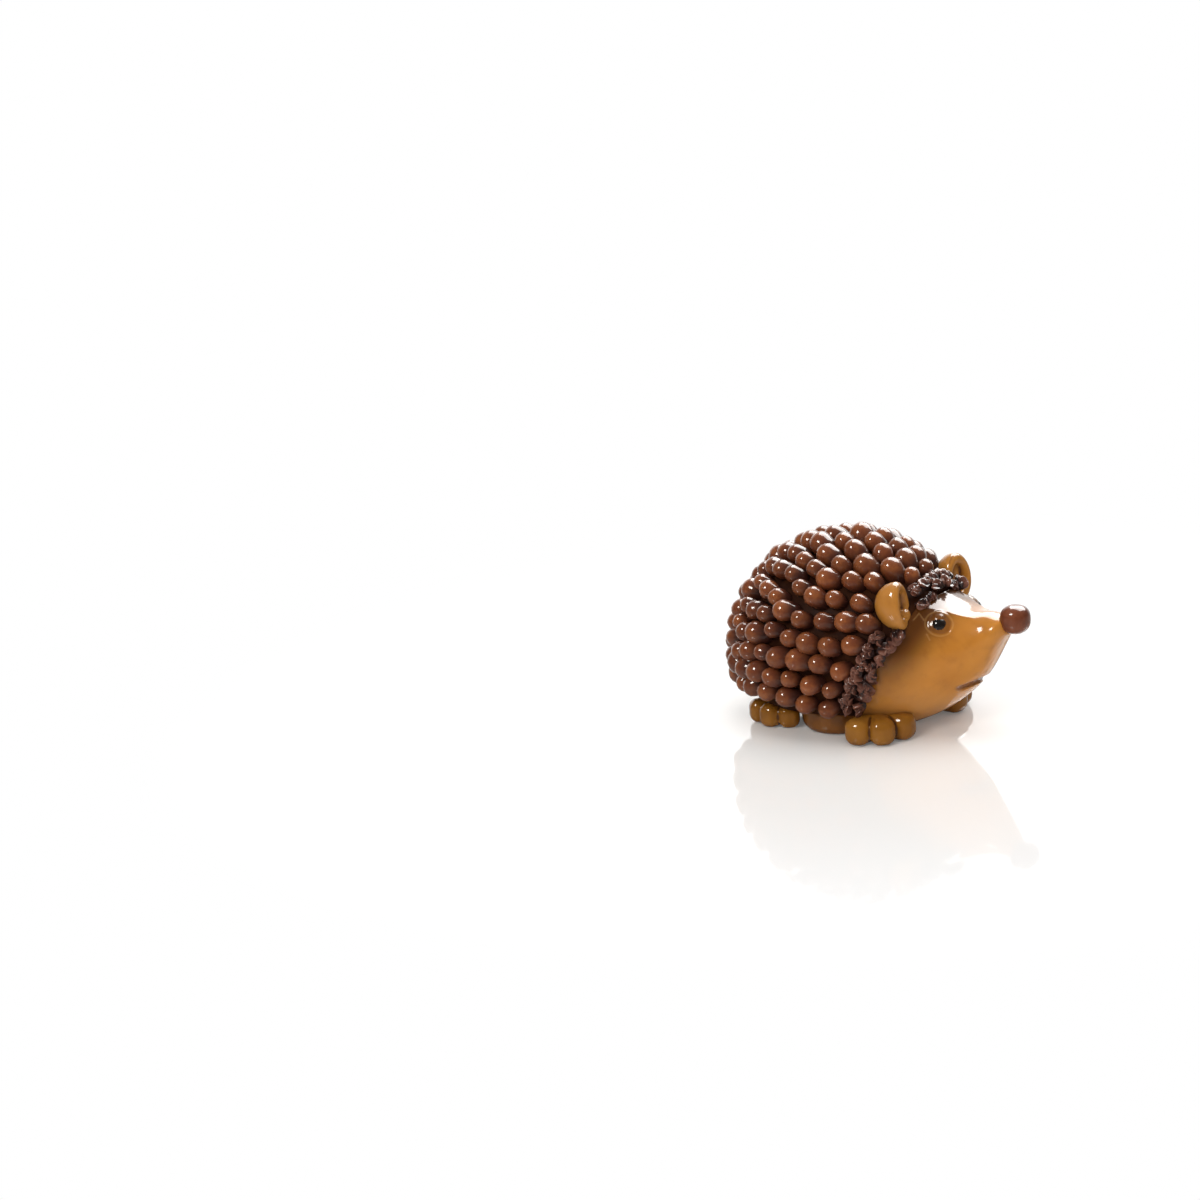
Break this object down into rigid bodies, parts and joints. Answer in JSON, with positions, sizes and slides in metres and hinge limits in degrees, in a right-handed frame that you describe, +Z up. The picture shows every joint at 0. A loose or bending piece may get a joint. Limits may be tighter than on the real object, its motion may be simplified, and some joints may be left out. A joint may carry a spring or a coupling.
{
  "type": "hedgehog figurine",
  "caption": "Small glossy hedgehog figurine with rows of rounded pellet quills, a pointed tan face, ball nose, cupped ears and toed paws; stands on a flat base.",
  "frame": {"origin": "centre of the bounding box, on the shelf the figurine stands on", "axes": "+X towards the nose, +Y to the animal's left, +Z up"},
  "size_m": [0.0639, 0.0432, 0.0375],
  "materials": {
    "face": "glossy varnished resin",
    "belly": "glossy varnished resin",
    "cape": "glossy varnished resin",
    "nose": "glossy varnished resin",
    "eye": "glossy varnished resin",
    "ear": "glossy varnished resin",
    "paw": "glossy varnished resin",
    "fringe": "glossy varnished resin",
    "quill": "glossy varnished resin"
  },
  "bodies": {
    "root": {"belly": "belly", "ear_left": "ear", "ear_right": "ear", "eye_left": "eye", "eye_right": "eye", "fringe_back": "fringe", "fringe_front": "fringe", "front_paw_left": "paw", "front_paw_right": "paw", "head": "face", "nose": "nose", "quill_cape": "cape", "quill_row_01": "quill", "quill_row_02": "quill", "quill_row_03": "quill", "quill_row_04": "quill", "quill_row_05": "quill", "quill_row_06": "quill", "quill_row_07": "quill", "quill_row_08": "quill", "quill_row_09": "quill", "quill_row_10": "quill", "quill_row_11": "quill", "rear_paw_left": "paw", "rear_paw_right": "paw"}
  },
  "joints": []
}
